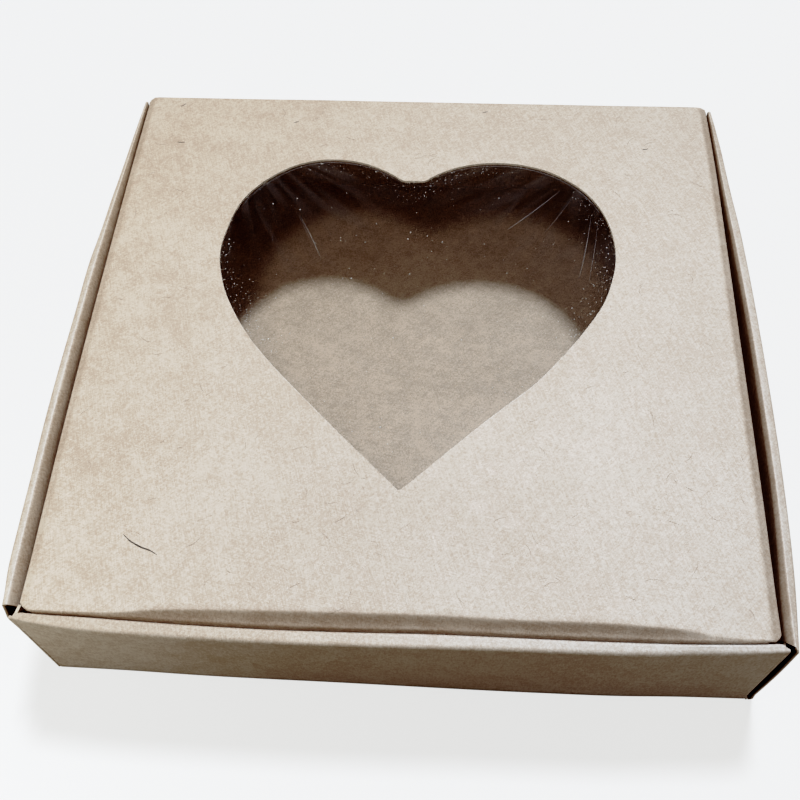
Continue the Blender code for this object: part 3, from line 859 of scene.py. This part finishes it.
def from_edges(x, y):
    """Distances from the lid's left, right and front edges."""
    left = np.maximum(x + lid_side[-1](y), 0)
    right = np.maximum(lid_side[1](y) - x, 0)
    return left, right, np.maximum(y + front_low(x), 0)


def edge_drop(distance, strip, depth, roll=0.5, ease=0.05):
    """How far the lid has fallen at a distance from its edge: crease, slanting strip, then fold."""
    t = np.clip(1 - distance / strip, 0, 1)
    t = (1 + ease) * t**2 / (t + ease)
    slant = depth * (1.6 * t - 0.6 * t**2)
    near = np.clip(roll - distance, 0, roll)
    return slant + roll - np.sqrt(np.maximum(roll**2 - near**2, 0))


def lid_height(x, y):
    """Height of the lid's upper face."""
    x, y = np.asarray(x, float), np.asarray(y, float)
    left, right, front = from_edges(x, y)
    drop, score = 0, 0
    for side, distance in ((-1, left), (1, right)):
        drop = drop + edge_drop(distance, strip_width[side], strip_drop[side])
        score = score + np.exp(-(((distance - strip_width[side]) / 0.22) ** 2))
    drop = drop + edge_drop(front, front_low(x) - lid_crease(x), front_drop(x), 0.24, 0.6)
    inside = np.minimum(np.minimum(left, right), front)
    calm = smooth(0, 8, inside)
    lift = 0.12 * (1 - np.clip((y + 10) / 70, -1, 1) ** 2)
    return TOP - 0.14 - drop - 0.05 * score + calm * (lid_ripple(x, y) + 0.5 * lift)


def lid_wear_and_painted_light(x, y):
    """Where shade is painted on the lid's face, on the slanting strips along its sides and on its front
    band, with a soft darker patch near the front middle; and where it is rubbed pale on its folds.
    """
    left, right, front = from_edges(x, y)
    band = front_low(x) - lid_crease(x) + 6.0 * crease_ripple(x, 33.0)
    # Painted shade on the slanting strips along the sides, and on the front band.
    painted_shade = 0.25 * smooth(-62, -46, y) * smooth(0.3, -0.3, left - strip_width[-1])
    painted_shade = painted_shade + 0.62 * smooth(0.4, -0.3, right - strip_width[1])
    crease = smooth(1.0, -0.4, front - band) * (0.08 + 0.92 * smooth(-1.5, -0.4, front - band))
    painted_shade = painted_shade + 0.5 * smooth(0.3, 1.2, band) * crease
    # A soft darker patch near the front middle.
    front_dark_patch = 0.20 * np.exp(-((x / 30) ** 2) - ((y + 42) / 16) ** 2)
    bright = 0.35 * np.exp(-((np.minimum(left, right) / 0.3) ** 2))
    return bright - np.minimum(painted_shade + front_dark_patch, 0.9)


def lid_boundary():
    """The lid's edge, once round from its front left corner."""
    back_edge = FRONT_FOOT - RADIUS
    side_end = 58.8

    def back_corner(x, reach, degrees):
        angles = np.radians(degrees)
        across = x + reach * np.cos(angles)
        return np.column_stack([across, side_end + (back_edge - side_end) * np.sin(angles)])

    front_x = stations(-57.75, 58.35, 0.8, [0.0])
    right_y, left_y = stations(-56.95, side_end, 0.8), stations(-57.0, side_end, 0.8)[::-1]
    back_x = stations(-59.1, 59.2, 0.8)[::-1]
    return np.vstack([
        np.column_stack([front_x, -front_low(front_x)]),
        [58.95, -57.65],
        np.column_stack([lid_side[1](right_y), right_y]),
        back_corner(59.3, 0.7, [20, 45, 70]),
        np.column_stack([back_x, back_edge + 0 * back_x]),
        back_corner(-59.2, -0.65, [70, 45, 20]),
        np.column_stack([-lid_side[-1](left_y), left_y]),
        [-58.65, -57.95],
    ])


FOLD_STEPS = [0.5, 0.4, 0.3, 0.2, 0.12, 0.05, 0.015, 0.0]  # rings of points near the lid's edge


def lid_board():
    """Top of the lid, from the heart's cut edge out to the folds at its sides."""
    outline = lid_boundary()
    heart_centre = np.array([0.0, HEART_MIDDLE])
    middle, half = np.array([0.0, 0.4]), np.array([59.8, 59.0])
    coarse, fine = np.arange(6.0, 2.6, -0.4), np.arange(2.6, 0.6, -0.14)
    steps = [*coarse, *fine, *FOLD_STEPS]
    insets = [middle + (outline - middle) * (1 - distance / half) for distance in steps]
    inner = insets[0]
    angle = np.arctan2(inner[:, 1] - HEART_MIDDLE, inner[:, 0])
    edge = heart_centre + heart_reach(angle)[:, None] * np.stack([np.cos(angle), np.sin(angle)], axis=-1)
    ragged = 0.6 + 0.4 * np.sin(angle * 97) * np.sin(angle * 41)
    rings = []
    for share in np.linspace(0, 1, 27) ** 1.7:
        ring = edge + (inner - edge) * share
        burr = 0.05 * np.exp(-share * np.linalg.norm(inner - edge, axis=1) / 0.5) * ragged
        rings.append(points_row(*ring.T, lid_height(*ring.T) + burr))
    rings += [points_row(*ring.T, lid_height(*ring.T)) for ring in insets[1:]]
    wear_and_painted_light = [lid_wear_and_painted_light(ring[:, 0], ring[:, 1]) for ring in rings]
    wear_and_painted_light[0] = wear_and_painted_light[0] + 0.7
    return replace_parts(board("lid_board", rings, flip=True, wrap=True, fold=-1, wear_and_painted_light=wear_and_painted_light), "lid_panel")


def lid_flap(side):
    """A dust flap, hanging from the fold at the lid's side."""
    ys = np.linspace(-56.2, 58.8, 116)
    face = []
    for drop in (0.0, 0.15, 0.35, 0.6, 0.9, 1.3, 1.8, *np.linspace(2.6, FLAP_DEPTH - 0.9, 16)):
        front = ys[0] + math.tan(math.radians(FLAP_FRONT_TAPER)) * drop
        rear = ys[-1] - math.tan(math.radians(FLAP_REAR_TAPER)) * drop
        y = front + (rear - front) * (ys - ys[0]) / (ys[-1] - ys[0])
        edge = lid_side[side](y)
        x = edge + (59.35 - edge) * smooth(0, 18, drop)
        z = lid_height(side * edge, y) - drop
        face.append(points_row(side * x, y, z))
    name = "lid_flap_board_" + SIDE_NAMES[side]
    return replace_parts(board(name, face, flip=side > 0, fold=0), name.replace("_board", ""))


def tuck_flap():
    """The front flap, from the lid's front fold down behind the front wall."""
    xs = np.linspace(-TUCK_HALF, TUCK_HALF, 139)
    lean = math.tan(math.radians(TUCK_LEAN))
    beyond = np.clip(np.abs(xs) - (TUCK_HALF - TUCK_CORNER), 0, TUCK_CORNER)
    reach = TUCK_DEPTH - 2.6 - TUCK_CORNER + np.sqrt(TUCK_CORNER**2 - beyond**2)
    face = []
    for share in (0.0, 0.01, 0.025, 0.045, 0.07, 0.1, 0.14, *np.linspace(0.19, 1, 15)):
        drop = reach * share
        face.append(points_row(xs, lean * drop - front_low(xs), lid_height(xs, -front_low(xs)) - drop))
    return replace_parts(board("tuck_flap_board", face, flip=True, fold=0), "lid_tuck_flap")


WRINKLES = [
    # from (x, y), to (x, y), half width, height, width of the painted highlight on its crest
    ((28.6, 35.1), (15.8, 22.3), 0.22, 0.15, 0.10),
    ((30.7, 33.0), (23.5, 21.5), 0.40, 0.09, 0.04),
    ((34.3, 28.2), (30.6, 9.4), 0.45, 0.13, 0.07),
    ((35.6, 27.2), (32.2, 7.0), 0.38, 0.10, 0.04),
    ((-23.6, 26.6), (-17.5, 13.5), 0.28, 0.13, 0.07),
    ((-24.6, 28.0), (-19.0, 15.5), 0.45, 0.10, 0.03),
    ((-31.5, 25.0), (-29.0, 8.0), 0.45, 0.08, 0.0),
]


FILM_HEIGHT = 24.34  # of the film's upper face


def from_middle(angle, reach):
    """The place at a distance from the window's middle."""
    return reach * np.cos(angle), HEART_MIDDLE + reach * np.sin(angle)


def wrinkle_bend(share):
    """How far a wrinkle bows sideways."""
    return 0.25 * np.sin(math.pi * np.clip(share, 0, 1))


def wrinkle_fade(share):
    """How a wrinkle rises at its start and dies away at its end."""
    return smooth(-0.05, 0.12, share) * smooth(1.0, 0.25, share)


def window_film():
    """Clear film under the window: nearly flat, with a few stretched wrinkles."""
    xs, ys = np.linspace(-45.6, 45.6, 183), np.linspace(-42.0, 48.8, 183)
    x, y = np.meshgrid(xs, ys)
    angle = np.arctan2(y - HEART_MIDDLE, x)
    inside = heart_reach(angle) - np.hypot(x, y - HEART_MIDDLE)
    free = smooth(0.3, 5.0, inside)
    z = FILM_HEIGHT + free * waves(21, (19, 31, 47), 0.03)(x, y) * smooth(0, 25, y)
    for (x0, y0), (x1, y1), width, height, _ in WRINKLES:
        along = np.array([x1 - x0, y1 - y0])
        length = np.linalg.norm(along)
        along = along / length
        s = ((x - x0) * along[0] + (y - y0) * along[1]) / length
        across = ((x - x0) * -along[1] + (y - y0) * along[0] - wrinkle_bend(s)) / width
        ridge = np.exp(-(across**2)) - 0.4 * np.exp(-((across / 2.6) ** 2))
        z = z + free * height * wrinkle_fade(s) * ridge
    face = np.stack([x, y, z], axis=-1)
    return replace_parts(board("film_sheet", face, (FILM, FILM, FILM), thickness=0.08), "window_film")


def film_crease_highlights_and_glue():
    """Painted highlights on the crests of the film's wrinkles, and the edge of its glue along the window's
    far rim.
    """
    lines = []
    share = np.linspace(0.02, 0.85, 30)
    for start, end, _, height, crest in WRINKLES:
        if crest:
            start, end = np.array(start), np.array(end)
            along = (end - start) / np.linalg.norm(end - start)
            sideways = np.outer(wrinkle_bend(share), [-along[1], along[0]])
            flat = start + np.outer(share, end - start) + sideways
            z = FILM_HEIGHT + 0.03 + 0.6 * height * wrinkle_fade(share)
            lines.append((np.column_stack([flat, z]), crest))
    for low, high in ((28, 82), (98, 152)):
        angles = np.radians(np.linspace(low, high, 90))
        x, y = from_middle(angles, heart_reach(angles) - 0.42)
        lines.append((np.column_stack([x, y, FILM_HEIGHT + 0.08 + 0 * angles]), 0.09))
    return lines


def ribbons(name, lines, material):
    """Fine fibres as flat closed ribbons. Each line is (points with heights, width)."""
    points, faces = [], []
    for line, width in lines:
        line = np.asarray(line, float)
        along = np.gradient(line, axis=0)
        across = np.cross(along, [0, 0, 1.0])
        across /= np.linalg.norm(across, axis=1)[:, None]
        taper = np.sin(np.linspace(0.25, math.pi - 0.25, len(line)))[:, None]
        first = len(points)
        for p, a in zip(line, across * taper * width / 2):
            points += [p + a, p + [0, 0, min(width, 0.1) * 0.6], p - a, p - [0, 0, 0.02]]
        for i in range(len(line) - 1):
            for k in range(4):
                a, b = first + 4 * i + k, first + 4 * i + (k + 1) % 4
                faces.append((a, b, b + 4, a + 4))
        end = first + 4 * (len(line) - 1)
        faces.append((first + 3, first + 2, first + 1, first))
        faces.append((end, end + 1, end + 2, end + 3))
    return new_object(name, np.minimum(points, [99, 99, TOP]), faces, [material])


def hair(rng, x, y, length, direction, curl, height):
    """A curling line on a face whose height is height(x, y)."""
    n = max(5, int(length / 0.35))
    step = length / (n - 1)
    line, turn = [], direction
    for _ in range(n):
        line.append((x, y, float(height(x, y)) + 0.02))
        x += step * math.cos(turn)
        y += step * math.sin(turn)
        turn += curl * step + rng.normal(0, 0.12)
    return line


DARK_HAIRS = [
    # from x, y, length, direction
    (-51.5, 46.0, 1.6, -0.1),
    (-52.6, 57.0, 1.4, 0.5),
    (12.5, 57.0, 1.2, -0.2),
    (45.5, 46.5, 1.3, 0.3),
    (-27.5, 52.5, 1.1, 0.4),
]
SPLINTER = [(-45.0, -44.9), (-43.6, -46.1), (-41.8, -47.0), (-40.2, -47.5), (-38.9, -48.2)]


def lid_fibres():
    """Hairs lying in the lid's face, and one dark splinter near its front left corner."""
    rng = np.random.RandomState(17)
    brown, dark, pale = [], [], []
    for x, y, length, turn in DARK_HAIRS:
        dark.append((hair(rng, x, y, length, turn, 0.2, lid_height), 0.16))
    dark.append(([(x, y, float(lid_height(x, y)) + 0.03) for x, y in SPLINTER], 0.24))
    count = 0
    while count < 150:
        x, y = rng.uniform(-57, 57), rng.uniform(-56, 58)
        angle = math.atan2(y - HEART_MIDDLE, x)
        if math.hypot(x, y - HEART_MIDDLE) < float(heart_reach(angle)) + 3.5:
            continue
        length = rng.uniform(0.8, 3.2)
        line = hair(rng, x, y, length, rng.uniform(0, 2 * math.pi), rng.uniform(-0.7, 0.7), lid_height)
        if any(abs(p[0]) > 58.5 or p[1] > 59.2 or p[1] < -57.0 for p in line):
            continue
        kind = brown if count % 3 else pale
        kind.append((line, rng.uniform(0.025, 0.055)))
        count += 1
    return brown, dark, pale


def short_fibre(place, direction, length, heights):
    """A straight line from a place, with its height at each of its points."""
    along = np.outer(np.linspace(0, length, len(heights)), [math.cos(direction), math.sin(direction)])
    return np.column_stack([place + along, heights])


def rim_fuzz():
    """Short fibres standing out of the window's cut edge, and a fan of them at its tip."""
    rng = np.random.RandomState(29)
    share = np.linspace(0, 1, 5)
    lines = []
    for _ in range(150):
        angle = rng.uniform(0, 2 * math.pi)
        if rng.uniform() < 0.35:
            angle = math.radians(rng.uniform(20, 160))
        place = from_middle(angle, heart_reach(angle) + 0.05)
        inward = angle + math.pi + rng.uniform(-1.0, 1.0)
        length = rng.uniform(0.25, 0.9)
        z = TOP - rng.uniform(0.2, 0.45)
        lines.append((short_fibre(place, inward, length, z + 0.1 * share**2), rng.uniform(0.04, 0.08)))
    for k in range(9):
        turn = math.radians(-90 + 24 * (k - 4))
        lines.append((short_fibre((-0.3, HEART_TIP - 0.1), turn, 1.1, TOP - 0.14 + 0.08 * share), 0.06))
    return lines


DUSTY = [(60, 130), (165, 215), (-25, 40)]  # parts of the rim with the most dust, as angles


def film_dust():
    """Specks of dust and lint on the film, thickest along its rim."""
    rng = np.random.RandomState(41)
    points, faces = [], []
    while len(faces) < 8 * 760:
        if rng.uniform() < 0.62:
            angle = rng.choice([math.radians(rng.uniform(*part)) for part in DUSTY])
            reach = float(heart_reach(angle)) - abs(rng.normal(0, 2.6)) - 0.4
        else:
            angle = rng.uniform(0, 2 * math.pi)
            reach = float(heart_reach(angle)) * math.sqrt(rng.uniform(0, 0.95))
        x, y = from_middle(angle, reach)
        z = FILM_HEIGHT + 0.10
        size = min(0.24, 0.045 + abs(rng.normal(0, 0.055)))
        stretch, spin = rng.uniform(0.5, 1.0), rng.uniform(0, math.pi)
        first = len(points)
        for k in range(4):
            a = spin + k * math.pi / 2
            wide = size * (1 if k % 2 else stretch)
            points.append((x + wide * math.cos(a), y + wide * math.sin(a), z))
        points += [(x, y, z + 0.6 * size), (x, y, z - 0.05)]
        for k in range(4):
            faces.append((first + k, first + (k + 1) % 4, first + 4))
            faces.append((first + (k + 1) % 4, first + k, first + 5))
    return new_object("film_dust", points, faces, [DUST])


# Everything in place

tray_pieces = [base_board(), front_wall(), side_wall(-1), side_wall(1)]
tray_pieces += [ear(side, end) for side in (-1, 1) for end in (-1, 1)]
for piece in tray_pieces:
    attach(piece, "tray")

hinge = back_wall()
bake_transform(hinge)

brown_lines, dark_lines, pale_lines = lid_fibres()
lid_pieces = {
    "kraft_outside": [
        lid_board(),
        ribbons("lid_brown_fibres", brown_lines, BROWN_FIBRE),
        ribbons("lid_dark_fibres", dark_lines, DARK_FIBRE),
        ribbons("lid_pale_fibres", pale_lines, PALE_FIBRE),
        ribbons("window_rim_fuzz", rim_fuzz(), PALE_FIBRE),
    ],
    "window_film": [window_film(), ribbons("film_crease_highlights_and_glue", film_crease_highlights_and_glue(), CREASE_HIGHLIGHT_AND_GLUE), film_dust()],
}
for slot_name, pieces in lid_pieces.items():
    for piece in pieces:
        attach(piece, "lid")

tuck = tuck_flap()
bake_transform(tuck)
for side, body in ((-1, "flap_left"), (1, "flap_right")):
    flap = lid_flap(side)
    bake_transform(flap)


# Studio


PICTURE = 800  # pixels along each side of the photograph
FOCAL_PIXELS = 969.0
CENTRE = (398.4, 451.7)  # pixel that the camera's axis meets
EYE = (6.6367, -109.9808, 167.6795)
ROLL, PITCH, YAW = 0.0409, 0.5255, 0.0253
SENSOR = 36.0
FRONT_LEFT = (-45, -60, 12)


def camera():
    lens = bpy.data.cameras.new("camera")
    lens.sensor_fit = "HORIZONTAL"
    lens.sensor_width = SENSOR
    lens.lens = FOCAL_PIXELS / PICTURE * SENSOR
    lens.shift_x = (PICTURE / 2 - CENTRE[0]) / PICTURE
    lens.shift_y = (CENTRE[1] - PICTURE / 2) / PICTURE
    lens.clip_start, lens.clip_end = 0.01, 20.0
    turn = Matrix.Rotation(ROLL, 3, "Z") @ Matrix.Rotation(PITCH, 3, "X") @ Matrix.Rotation(YAW, 3, "Y")
    eye = link("camera", lens)
    eye.matrix_world = Matrix.Translation(Vector(EYE) * MM) @ turn.to_4x4()
    bpy.context.scene.camera = eye


def light(name, kind, power, colour, towards):
    """A light's object and its settings. towards points from the box to the light."""
    lamp = bpy.data.lights.new(name, kind)
    lamp.energy = power
    lamp.color = colour
    holder = link(name, lamp)
    holder.rotation_mode = "QUATERNION"
    holder.rotation_quaternion = Vector(towards).to_track_quat("Z", "Y")
    return holder, lamp


def sun(name, towards, strength, colour, spread):
    """A soft distant light."""
    _, lamp = light(name, "SUN", strength, colour, towards)
    lamp.angle = math.radians(spread)


def side_lamp(place, size, power, colour):
    """A small soft light that shines on the box's front left corner."""
    holder, lamp = light("side_lamp", "AREA", power, colour, Vector(place) - Vector(FRONT_LEFT))
    holder.location = Vector(place) * MM
    lamp.shape = "DISK"
    lamp.size = size * MM


def seen_as(tree, output, shader, seen):
    """Shows the camera one shader, and lights the box with another."""
    ray = add(tree, "ShaderNodeLightPath").outputs["Is Camera Ray"]
    both = add(tree, "ShaderNodeMixShader", {0: ray, 1: shader.outputs[0], 2: seen}).outputs[0]
    tree.links.new(both, tree.nodes[output].inputs["Surface"])


def floor():
    """A plain pale floor. It looks brighter than the light that it throws back at the box."""
    data = bpy.data.meshes.new("floor")
    data.from_pydata([(-4, -4, 0), (4, -4, 0), (4, 4, 0), (-4, 4, 0)], [], [(0, 1, 2, 3)])
    plane = link("floor", data)
    material, tree, shader = blank_material("floor")
    shader.inputs["Roughness"].default_value = 0.9
    shader.inputs["Base Color"].default_value = (0.25, 0.22, 0.17, 1)
    cloud = noise(tree, millimetres(tree), 0.004, 2.0)
    pale = mix(tree, cloud, (0.86, 0.86, 0.86, 1), (0.90, 0.90, 0.90, 1))
    seen = add(tree, "ShaderNodeBsdfDiffuse", {"Color": pale}).outputs[0]
    glow = add(tree, "ShaderNodeEmission", {"Color": (1, 1, 1, 1), "Strength": 0.86}).outputs[0]
    lit = add(tree, "ShaderNodeMixShader", {0: 0.70, 1: seen, 2: glow}).outputs[0]
    seen_as(tree, "Material Output", shader, lit)
    data.materials.append(material)


def surroundings():
    """Soft light from all round, and the pale backdrop that the camera sees."""
    world = bpy.data.worlds.new("surroundings")
    world.use_nodes = True
    bpy.context.scene.world = world
    tree = world.node_tree
    soft = tree.nodes["Background"]
    soft.inputs["Color"].default_value = (1.0, 0.90, 0.78, 1)
    soft.inputs["Strength"].default_value = 0.15
    seen = add(tree, "ShaderNodeBackground", {"Color": (0.95, 0.95, 0.95, 1), "Strength": 1.0}).outputs[0]
    seen_as(tree, "World Output", soft, seen)


TONE_CURVES = {
    # curve of the view's mapping: (value in, value out). 1 is green, 2 is blue, 3 is all together.
    3: ((0.02, 0.004), (0.045, 0.026), (0.10, 0.105), (0.35, 0.42), (0.55, 0.655)),
    1: ((0.012, 0.0085), (0.055, 0.0495), (0.15, 0.1495)),
    2: ((0.008, 0.0055), (0.035, 0.0315), (0.12, 0.1195)),
}


def response():
    """Tones like a phone's: deep shadows, and bright middle tones."""
    view = bpy.context.scene.view_settings
    view.view_transform = "Standard"
    view.use_curve_mapping = True
    curve_map = view.curve_mapping
    for channel, knots in TONE_CURVES.items():
        for x, y in knots:
            curve_map.curves[channel].points.new(x, y)
    curve_map.update()


camera()
floor()
surroundings()
sun("key", (0.10, 0.50, 1.0), 2.22, (0.93, 1.0, 1.10), 9.5)
sun("second", (-0.12, -0.38, 1.0), 0.35, (1.0, 0.97, 0.92), 13.0)
side_lamp((-112, -112, 60), 40, 0.0250, (0.80, 0.86, 0.86))
response()
